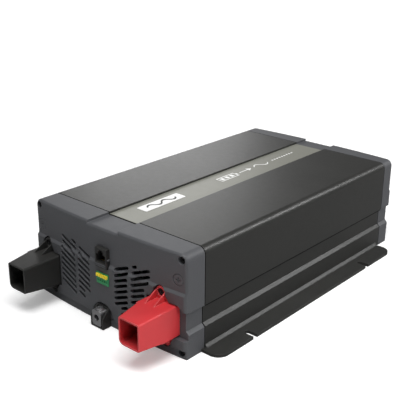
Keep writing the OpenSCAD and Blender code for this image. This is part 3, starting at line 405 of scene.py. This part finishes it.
metals = {
    "screw_steel": {
        "colour": (0.030, 0.030, 0.031), "edgeColour": (0.20, 0.20, 0.20), "metal": 0.7, "rough": 0.46,
        "across": 2400.0, "along": 300.0, "soft": 0.25, "bump": 0.3},
    "bright_steel": {
        "colour": (0.52, 0.52, 0.53), "edgeColour": (0.80, 0.80, 0.80), "metal": 1.0, "rough": 0.40,
        "across": 1900.0, "along": 260.0, "soft": 0.3, "bump": 0.3},
    "tinned_copper": {
        "colour": (0.66, 0.64, 0.60), "edgeColour": (0.80, 0.62, 0.48), "metal": 1.0, "rough": 0.30,
        "across": 1500.0, "along": 60.0, "soft": 0.4, "bump": 0.25},
    "contact_brass": {
        "colour": (0.78, 0.56, 0.22), "edgeColour": (0.92, 0.76, 0.42), "metal": 1.0, "rough": 0.26,
        "across": 2600.0, "along": 90.0, "soft": 0.15, "bump": 0.15},
    "heatsink_aluminium": {
        "colour": (0.58, 0.59, 0.60), "edgeColour": (0.78, 0.78, 0.78), "metal": 1.0, "rough": 0.38,
        "across": 1700.0, "along": 20.0, "soft": 0.3, "bump": 0.35},
}
boards = {"board_laminate": {
    "colour": (0.010, 0.095, 0.035), "trackColour": (0.030, 0.19, 0.075), "padColour": (0.72, 0.70, 0.64),
    "tracks": 120.0, "pads": 190.0}}
windings = {"winding_copper": {"colour": (0.62, 0.27, 0.10), "turns": 260.0, "across": "Z"}}
cans = {"can_sleeve": {"colour": (0.016, 0.026, 0.075), "topColour": (0.60, 0.60, 0.61)}}

finishes = {}
for recipe, looks in (
    (coatedFinish, coated), (metalFinish, metals), (boardFinish, boards),
    (windingFinish, windings), (canFinish, cans),
):
    for finishName, look in looks.items():
        finishes[finishName] = recipe(finishName, look)
print("finishes made:", len(finishes))

slotOf = {row["node"]: row["material_slot"] for row in frame["record"]["subparts"]}
for name, item in nodes.items():
    item.data.materials.clear()
    item.data.materials.append(finishes[slotOf[name]])


# the floor is pale to the camera, darker in reflections, and lifted to the background's white further out
floorSet = {
    "tone": (0.84, 0.87), "drift": 3.0, "mirrored": 0.24, "rough": 0.9, "reach": 12,
    "liftFrom": (0.4, 2.0), "lift": (0.26, 0.95),
}
worldSet = {"light": 0.16, "seen": 1.0}


def makeFloor(look):
    material, tree, shader, coords = newMaterial("paleFloor")
    tone = addGroup(tree, toneDrift, {
        "Vector": coords, "Scale": look["drift"], "Low": look["tone"][0], "High": look["tone"][1]})
    path = addNode(tree, "LightPath")
    pale = mixColour(
        tree, path.outputs["Is Glossy Ray"], greyOf(tree, tone.outputs["Value"]), (look["mirrored"],) * 3)
    tree.links.new(pale, shader.inputs["Base Color"])
    shader.inputs["Emission Color"].default_value = (1, 1, 1, 1)
    away = addNode(tree, "VectorMath", {0: coords}, operation="LENGTH")
    lift = addNode(tree, "MapRange", {
        "Value": away.outputs["Value"], "From Min": look["liftFrom"][0], "From Max": look["liftFrom"][1],
        "To Min": look["lift"][0], "To Max": look["lift"][1]})
    glow = addNode(
        tree, "Math", {0: path.outputs["Is Camera Ray"], 1: lift.outputs["Result"]}, operation="MULTIPLY")
    tree.links.new(glow.outputs[0], shader.inputs["Emission Strength"])
    shader.inputs["Roughness"].default_value = look["rough"]
    shape = bmesh.new()
    bmesh.ops.create_grid(shape, x_segments=1, y_segments=1, size=look["reach"])
    mesh = bpy.data.meshes.new("floor")
    shape.to_mesh(mesh)
    shape.free()
    mesh.materials.append(material)
    floor = bpy.data.objects.new("floor", mesh)
    scene.collection.objects.link(floor)


def makeWorld(look):
    # light for the object, white behind it for the camera
    world = bpy.data.worlds.new("studioWorld")
    world.use_nodes = True
    scene.world = world
    tree = world.node_tree
    path = addNode(tree, "LightPath")
    level = addNode(tree, "Mix", {
        "Factor": path.outputs["Is Camera Ray"], "A": look["light"], "B": look["seen"]})
    tree.nodes["Background"].inputs["Color"].default_value = (1, 1, 1, 1)
    tree.links.new(level.outputs["Result"], tree.nodes["Background"].inputs["Strength"])


makeCamera(cameraSet)
makeLights(lightSet)
makeFloor(floorSet)
makeWorld(worldSet)
scene.view_settings.view_transform = "Standard"
print("studio ready")


# piece helpers: distances in millimetres and angles in degrees

meshSet = {"weld": 0.001, "flat": 0.3, "sharp": 32}


def cadCopy(node):
    shape = bmesh.new()
    shape.from_mesh(nodes[node].data)
    bmesh.ops.remove_doubles(shape, verts=shape.verts, dist=meshSet["weld"] * mm)
    bmesh.ops.dissolve_limit(shape, angle_limit=radians(meshSet["flat"]), verts=shape.verts, edges=shape.edges)
    return shape


def finishPiece(name, shape, finish, body, standsFor=()):
    for face in shape.faces:
        face.smooth = True
    for edge in shape.edges:
        edge.smooth = edge.is_manifold and edge.calc_face_angle(0) < radians(meshSet["sharp"])
    mesh = bpy.data.meshes.new(name)
    shape.to_mesh(mesh)
    shape.free()
    if "custom_normal" in mesh.attributes:
        mesh.attributes.remove(mesh.attributes["custom_normal"])
    mesh.materials.append(finishes[finish])
    piece = bpy.data.objects.new(name, mesh)
    scene.collection.objects.link(piece)
    even = piece.modifiers.new("evenNormals", "WEIGHTED_NORMAL")
    even.keep_sharp = True
    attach(piece, body)
    if standsFor:
        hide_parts(*standsFor)
    return piece


def sharpEdges(shape, choose=None):
    limit = radians(meshSet["sharp"])
    return [
        edge for edge in shape.edges
        if edge.is_manifold and edge.calc_face_angle(0) > limit and (choose is None or choose(edge))
    ]


def bevelEdges(shape, edges, width, segments=2):
    bmesh.ops.bevel(
        shape, geom=edges, offset=width * mm, offset_type="OFFSET", segments=segments, profile=0.5,
        affect="EDGES", clamp_overlap=True, material=-1)


def softenedNode(node, name, width, segments=2, choose=None):
    shape = cadCopy(node)
    bevelEdges(shape, sharpEdges(shape, choose=choose), width, segments)
    return finishPiece(name, shape, slotOf[node], bodyOf[node], (node,))


def addBox(shape, low, high):
    middle = [(a + b) / 2 * mm for a, b in zip(low, high)]
    size = [(b - a) * mm for a, b in zip(low, high)]
    place = Matrix.Translation(middle) @ Matrix.Diagonal((*size, 1))
    return bmesh.ops.create_cube(shape, size=1, matrix=place)["verts"]


# end caps: the CAD shape cut to a form whose outer rim is rounded

capForm = {
    "rim": 2.6, "rimSteps": 5, "bow": 4.6, "edgeRound": 7.0, "edgeSteps": 12,
    "channelHalf": 20.0, "channelDeep": 2.5, "skirtTop": 23.5, "grooveDeep": 3.0, "seamHeight": 45.0,
    "ledgeFoot": 62.0, "ledgeTop": 64.4, "ledgeProud": 2.0, "spare": 0.02, "ahead": 0.05, "station": 7.0, "behind": 2,
    "weld": 0.002,
}


def capOutline(form, halfWidth, height):
    spare = form["spare"]
    wide = halfWidth + spare
    high = height + spare
    bend = form["edgeRound"]
    half = [
        (wide, -spare), (wide, form["skirtTop"]), (wide - form["grooveDeep"], form["skirtTop"] + form["grooveDeep"]),
        (wide - form["grooveDeep"], form["seamHeight"] - spare), (wide, form["seamHeight"] - spare),
    ]
    for step in range(form["edgeSteps"] + 1):
        turn = pi / 2 * step / form["edgeSteps"]
        half.append((wide - bend + bend * cos(turn), high - bend + bend * sin(turn)))
    half += [
        (form["channelHalf"] - spare, high),
        (form["channelHalf"] - spare, height - form["channelDeep"] + spare),
    ]
    return half + [(-x, z) for x, z in reversed(half)]


def roundedForm(form, halfWidth, height, faceY, backY):
    # the outline drawn out from the back, its front rim rounded, then bowed and stepped at the ledge
    shape = bmesh.new()
    outline = capOutline(form, halfWidth, height)
    loop = [shape.verts.new((x * mm, backY * mm, z * mm)) for x, z in outline]
    back = shape.faces.new(loop)
    drawn = bmesh.ops.extrude_face_region(shape, geom=[back], use_keep_orig=True)["geom"]
    front = [item for item in drawn if isinstance(item, bmesh.types.BMVert)]
    bmesh.ops.translate(shape, verts=front, vec=(0, (faceY - backY - form["ahead"]) * mm, 0))
    bmesh.ops.recalc_face_normals(shape, faces=shape.faces)
    rim = [edge for edge in shape.edges if all(vert in front for vert in edge.verts)]
    bmesh.ops.bevel(
        shape, geom=rim, offset=form["rim"] * mm, offset_type="OFFSET", segments=form["rimSteps"], profile=0.5,
        affect="EDGES", clamp_overlap=False, material=-1)
    stations = int(halfWidth / form["station"])
    planes = [((x * form["station"] * mm, 0, 0), (1, 0, 0)) for x in range(-stations, stations + 1)]
    planes += [((0, 0, form[level] * mm), (0, 0, 1)) for level in ("ledgeFoot", "ledgeTop")]
    for place, facing in planes:
        bmesh.ops.bisect_plane(
            shape, geom=shape.verts[:] + shape.edges[:] + shape.faces[:], plane_co=place, plane_no=facing)
    radius = (halfWidth ** 2 + form["bow"] ** 2) / (2 * form["bow"])
    for vert in shape.verts:
        if abs(vert.co.y - backY * mm) < 0.5 * mm:
            continue
        x, z = vert.co.x / mm, vert.co.z / mm
        bowed = form["bow"] - (radius - sqrt(radius ** 2 - min(abs(x), halfWidth) ** 2))
        down = (form["ledgeTop"] - z) / (form["ledgeTop"] - form["ledgeFoot"])
        vert.co.y -= (bowed + form["ledgeProud"] * min(max(down, 0), 1)) * mm
    bmesh.ops.recalc_face_normals(shape, faces=shape.faces)
    return shape


def plainObject(name, shape):
    mesh = bpy.data.meshes.new(name)
    shape.to_mesh(mesh)
    shape.free()
    made = bpy.data.objects.new(name, mesh)
    scene.collection.objects.link(made)
    return made


def cutToForm(node, name, form, turned):
    low, high = (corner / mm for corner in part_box(node))
    halfWidth = high.x
    if turned:
        face, back = -(high.y - form["bow"] - form["ledgeProud"]), -(low.y - form["behind"])
    else:
        face, back = low.y + form["bow"] + form["ledgeProud"], high.y + form["behind"]
    rounded = roundedForm(form, halfWidth, high.z, face, back)
    if turned:
        bmesh.ops.rotate(rounded, verts=rounded.verts, cent=(0, 0, 0), matrix=Matrix.Rotation(pi, 3, "Z"))
    whole = plainObject(name + "Whole", cadCopy(node))
    cutter = plainObject(name + "Form", rounded)
    cut = whole.modifiers.new("rim", "BOOLEAN")
    cut.operation = "INTERSECT"
    cut.solver = "EXACT"
    cut.object = cutter
    bpy.context.view_layer.update()
    kept = bpy.data.meshes.new_from_object(whole.evaluated_get(bpy.context.evaluated_depsgraph_get()))
    shape = bmesh.new()
    shape.from_mesh(kept)
    for spent in (whole, cutter):
        bpy.data.objects.remove(spent)
    bpy.data.meshes.remove(kept)
    bmesh.ops.remove_doubles(shape, verts=shape.verts, dist=form["weld"] * mm)
    return finishPiece(name, shape, slotOf[node], bodyOf[node], (node,))


frontCapShell = cutToForm("front_cap", "frontCapShell", capForm, False)
rearCapShell = cutToForm("rear_cap", "rearCapShell", capForm, True)
print("caps rounded:", len(frontCapShell.data.polygons), "and", len(rearCapShell.data.polygons), "faces")


# housing sheets

sheetForm = {"coverEdge": 0.7, "coverSteps": 3, "chassisEdge": 0.5, "stripEdge": 0.25, "longEdge": 8.0}


def longEdge(edge):
    return edge.calc_length() > sheetForm["longEdge"] * mm


softenedNode("top_cover", "topCoverSheet", sheetForm["coverEdge"], sheetForm["coverSteps"], longEdge)
softenedNode("base_chassis", "chassisSheet", sheetForm["chassisEdge"], choose=longEdge)
softenedNode("label_strip", "labelFilm", sheetForm["stripEdge"])

seamShadowForm = {"inner": 2.9, "outer": 0.25, "high": 1.1, "overlap": 0.05, "ends": 0.3, "soft": 0.2}


def makeSeamShadowStrips(form):
    # black strips under the cover's lower edges: painted shadow standing in for the shade in the gap below them
    low, high = (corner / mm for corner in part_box("top_cover"))
    shape = bmesh.new()
    for side in (-1, 1):
        inner, outer = side * (high.x - form["inner"]), side * (high.x - form["outer"])
        addBox(
            shape, (min(inner, outer), low.y + form["ends"], low.z - form["high"]),
            (max(inner, outer), high.y - form["ends"], low.z + form["overlap"]))
    bevelEdges(shape, sharpEdges(shape), form["soft"])
    finishPiece("coverSeamShadowStrips", shape, "seamShadowBlack", "housing")


makeSeamShadowStrips(seamShadowForm)
print("housing sheets softened")


# battery terminal covers

coverForm = {"edge": 0.75, "steps": 3, "screwEdge": 0.25, "busbarEdge": 0.5}

softenedNode("positive_cover", "redTerminalCover", coverForm["edge"], coverForm["steps"])
softenedNode("negative_cover", "blackTerminalCover", coverForm["edge"], coverForm["steps"])
for node in ("positive_cover_screws", "negative_cover_screws", "front_cap_screws", "rear_cap_screws"):
    softenedNode(node, "soft_" + node, coverForm["screwEdge"])
for node in ("positive_busbar", "negative_busbar"):
    softenedNode(node, "soft_" + node, coverForm["busbarEdge"])
print("terminal covers and screws softened")


# ports

jackForm = {
    "edge": 0.45, "root": 0.3, "rimInset": 0.1, "rimWide": 1.0, "rimProud": 0.45,
    "mouthHalf": 5.9, "mouthLow": 4.4, "mouthTop": 1.2, "mouthRim": 0.8, "mouthProud": 0.35,
    "bandInset": 1.1, "bandHigh": 0.9, "bandLow": (1.5, 3.2),
    "tabIn": 0.2, "tabOut": 0.9, "tabBack": 0.8, "tabLow": 8.5, "tabHigh": 1.6, "tabLong": 3.0, "soft": 0.14,
}


def frameRing(shape, x0, z0, x1, z1, wide, backY, frontY):
    # a flat frame between two Y stations, made from one face inset and drawn out
    middle = Matrix.Translation(((x0 + x1) / 2 * mm, backY * mm, (z0 + z1) / 2 * mm))
    upright = Matrix.Rotation(pi / 2, 4, "X")
    size = Matrix.Diagonal(((x1 - x0) / 2 * mm, (z1 - z0) / 2 * mm, 1, 1))
    made = bmesh.ops.create_grid(shape, x_segments=1, y_segments=1, size=1, matrix=middle @ upright @ size)
    inner = list(made["verts"][0].link_faces)
    ring = bmesh.ops.inset_region(shape, faces=inner, thickness=wide * mm, use_even_offset=True)["faces"]
    bmesh.ops.delete(shape, geom=inner, context="FACES")
    drawn = bmesh.ops.extrude_face_region(shape, geom=ring, use_keep_orig=True)["geom"]
    moved = [item for item in drawn if isinstance(item, bmesh.types.BMVert)]
    bmesh.ops.translate(shape, verts=moved, vec=(0, (frontY - backY) * mm, 0))


def makeJack(form):
    softenedNode("data_jack", "dataJackBody", form["edge"])
    low, high = (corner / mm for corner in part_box("data_jack"))
    shape = bmesh.new()
    inset, root = form["rimInset"], low.y + form["root"]
    frameRing(
        shape, low.x + inset, low.z + inset, high.x - inset, high.z - inset, form["rimWide"],
        root, low.y - form["rimProud"])
    middle = (low.x + high.x) / 2
    frameRing(
        shape, middle - form["mouthHalf"] - form["mouthRim"], low.z + form["mouthLow"],
        middle + form["mouthHalf"] + form["mouthRim"], high.z - form["mouthTop"],
        form["mouthRim"], root, low.y - form["mouthProud"])
    for foot in form["bandLow"]:
        addBox(
            shape, (low.x + form["bandInset"], low.y - form["mouthProud"], low.z + foot),
            (high.x - form["bandInset"], root, low.z + foot + form["bandHigh"]))
    tabY, tabZ = low.y + form["tabBack"], low.z + form["tabLow"]
    addBox(
        shape, (high.x - form["tabIn"], tabY, tabZ),
        (high.x + form["tabOut"], tabY + form["tabLong"], tabZ + form["tabHigh"]))
    bmesh.ops.recalc_face_normals(shape, faces=shape.faces)
    bevelEdges(shape, sharpEdges(shape), form["soft"])
    finishPiece("dataJackRims", shape, "slate_plastic", "housing")


makeJack(jackForm)

# node, piece and edge width
portPieces = [
    ("spring_terminal", "springTerminalBlock", 0.18),
    *(("release_button_%d" % way, "releaseButton_%d" % way, 0.22) for way in range(1, 6)),
    ("ground_lug", "groundLugBlock", 0.35),
    ("ground_screw", "groundScrewHead", 0.25),
    ("ground_bracket", "groundBracketPlate", 0.3),
]
for node, pieceName, width in portPieces:
    softenedNode(node, pieceName, width)

combForm = {"teeth": 5, "pitch": 2.6, "wide": 1.3, "high": 1.0, "deep": 1.6, "root": 0.2, "soft": 0.3}


def makeBracketComb(form):
    low, high = (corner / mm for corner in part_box("ground_bracket"))
    shape = bmesh.new()
    middle = (low.x + high.x) / 2
    for tooth in range(form["teeth"]):
        x = middle + (tooth - (form["teeth"] - 1) / 2) * form["pitch"]
        addBox(
            shape, (x - form["wide"] / 2, high.y - form["root"] - form["deep"], high.z - form["root"]),
            (x + form["wide"] / 2, high.y - form["root"], high.z + form["high"]))
    bevelEdges(shape, sharpEdges(shape), form["soft"])
    finishPiece("groundBracketComb", shape, "black_plastic", "housing")


makeBracketComb(combForm)
print("ports and ground terminal made")


# marks on the strip: a plain badge with two waves, then a battery, an arrow, a wave and dashes

badgeForm = {
    "x": (-10.6, 2.8), "y": (-126.0, -70.5), "thick": 0.35, "root": 0.1, "corner": 1.2, "cornerSteps": 4,
    "rim": 0.12, "waveStarts": (8, 27.5), "waveLong": 20, "swing": 3.0, "line": 2.4,
}
inkForm = {"thick": 0.12, "root": 0.05, "line": 1.1}


def stripTop():
    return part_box("label_strip")[1].z / mm


def flatPlate(shape, x0, y0, x1, y1, z0, z1):
    return addBox(shape, (x0, y0, z0), (x1, y1, z1))


def waveBand(shape, middleX, startY, length, swing, line, z0, z1, steps=32):
    # one period of a sine wave: a narrow bar bent to the curve
    before = set(shape.verts)
    flatPlate(shape, middleX - line / 2, startY, middleX + line / 2, startY + length, z0, z1)
    bar = [vert for vert in shape.verts if vert not in before]
    for step in range(1, steps):
        cutY = (startY + length * step / steps) * mm
        faces = {face for vert in bar for face in vert.link_faces}
        edges = {edge for vert in bar for edge in vert.link_edges}
        cut = bmesh.ops.bisect_plane(
            shape, geom=bar + list(edges) + list(faces), plane_co=(0, cutY, 0), plane_no=(0, 1, 0))
        bar += [item for item in cut["geom_cut"] if isinstance(item, bmesh.types.BMVert)]
    for vert in bar:
        vert.co.x -= swing * mm * sin(2 * pi * (vert.co.y / mm - startY) / length)


def makeBadge(form, ink):
    top = stripTop()
    (x0, x1), (y0, y1) = form["x"], form["y"]
    shape = bmesh.new()
    flatPlate(shape, x0, y0, x1, y1, top - form["root"], top + form["thick"])
    upright = [
        edge for edge in shape.edges if abs(edge.verts[0].co.z - edge.verts[1].co.z) > form["thick"] / 2 * mm]
    bevelEdges(shape, upright, form["corner"], form["cornerSteps"])
    rim = [edge for edge in shape.edges if all(vert.co.z > top * mm for vert in edge.verts)]
    bevelEdges(shape, rim, form["rim"])
    finishPiece("badgePlate", shape, "badgeWhite", "housing")
    glyph = bmesh.new()
    face = top + form["thick"]
    for start in form["waveStarts"]:
        waveBand(
            glyph, (x0 + x1) / 2, y0 + start, form["waveLong"], form["swing"], form["line"],
            face - ink["root"], face + ink["thick"])
    bmesh.ops.recalc_face_normals(glyph, faces=glyph.faces)
    finishPiece("badgeWave", glyph, "badgeInk", "housing")


pictureForm = {
    "x": (-8.2, 1.6), "batteryY": (-12.0, 16.0), "poleHalf": 1.8, "poleLong": 2.2,
    "cells": 3, "cellIn": 2.4, "cellFrom": 3.2, "cellTo": 7.8, "cellPitch": 7.6,
    "arrowY": (22.0, 42.0), "headHalf": 3.6, "headLong": 6, "headTip": 0.04,
    "waveY": (48.0, 24.0), "swing": 3.8, "waveLine": 1.5,
    "dashesY": (80.0, 122.0), "dashes": 9, "dashHalf": 1.0, "dashShare": 0.55,
}


def makePictures(form, ink):
    top = stripTop()
    z0, z1 = top - ink["root"], top + ink["thick"]
    line = ink["line"]
    x0, x1 = form["x"]
    middle = (x0 + x1) / 2
    shape = bmesh.new()
    y0, y1 = form["batteryY"]
    flatPlate(shape, x0, y0, x0 + line, y1, z0, z1)
    flatPlate(shape, x1 - line, y0, x1, y1, z0, z1)
    flatPlate(shape, x0 + line, y0, x1 - line, y0 + line, z0, z1)
    flatPlate(shape, x0 + line, y1 - line, x1 - line, y1, z0, z1)
    flatPlate(shape, middle - form["poleHalf"], y1, middle + form["poleHalf"], y1 + form["poleLong"], z0, z1)
    for cell in range(form["cells"]):
        foot = y0 + cell * form["cellPitch"]
        flatPlate(
            shape, x0 + form["cellIn"], foot + form["cellFrom"], x1 - form["cellIn"], foot + form["cellTo"], z0, z1)
    y0, y1 = form["arrowY"]
    neck = y1 - form["headLong"]
    flatPlate(shape, middle - line / 2, y0, middle + line / 2, neck, z0, z1)
    head = flatPlate(shape, middle - form["headHalf"], neck, middle + form["headHalf"], y1, z0, z1)
    for vert in head:
        if vert.co.y > (neck + y1) / 2 * mm:
            vert.co.x = middle * mm + (vert.co.x - middle * mm) * form["headTip"]
    waveBand(shape, middle, *form["waveY"], form["swing"], form["waveLine"], z0, z1)
    y0, y1 = form["dashesY"]
    pitch = (y1 - y0) / form["dashes"]
    for dash in range(form["dashes"]):
        foot = y0 + dash * pitch
        flatPlate(
            shape, middle - form["dashHalf"], foot, middle + form["dashHalf"], foot + pitch * form["dashShare"],
            z0, z1)
    bmesh.ops.recalc_face_normals(shape, faces=shape.faces)
    finishPiece("stripPictures", shape, "badgeWhite", "housing")


makeBadge(badgeForm, inkForm)
makePictures(pictureForm, inkForm)
print("strip marks made")


# outlet end and fans

outletForm = {"bodyEdge": 0.4, "switchEdge": 0.35, "keyEdge": 0.3, "smallEdge": 0.2, "smallSteps": 1}

softenedNode("outlet_body", "outletFace", outletForm["bodyEdge"])
softenedNode("switch_housing", "switchFrame", outletForm["switchEdge"])
softenedNode("power_rocker", "rockerKey", outletForm["keyEdge"])
for node in ("left_fan_frame", "right_fan_frame", "outlet_earth_clips", "outlet_screws"):
    softenedNode(node, "soft_" + node, outletForm["smallEdge"], outletForm["smallSteps"])
print("outlet end and fans softened")
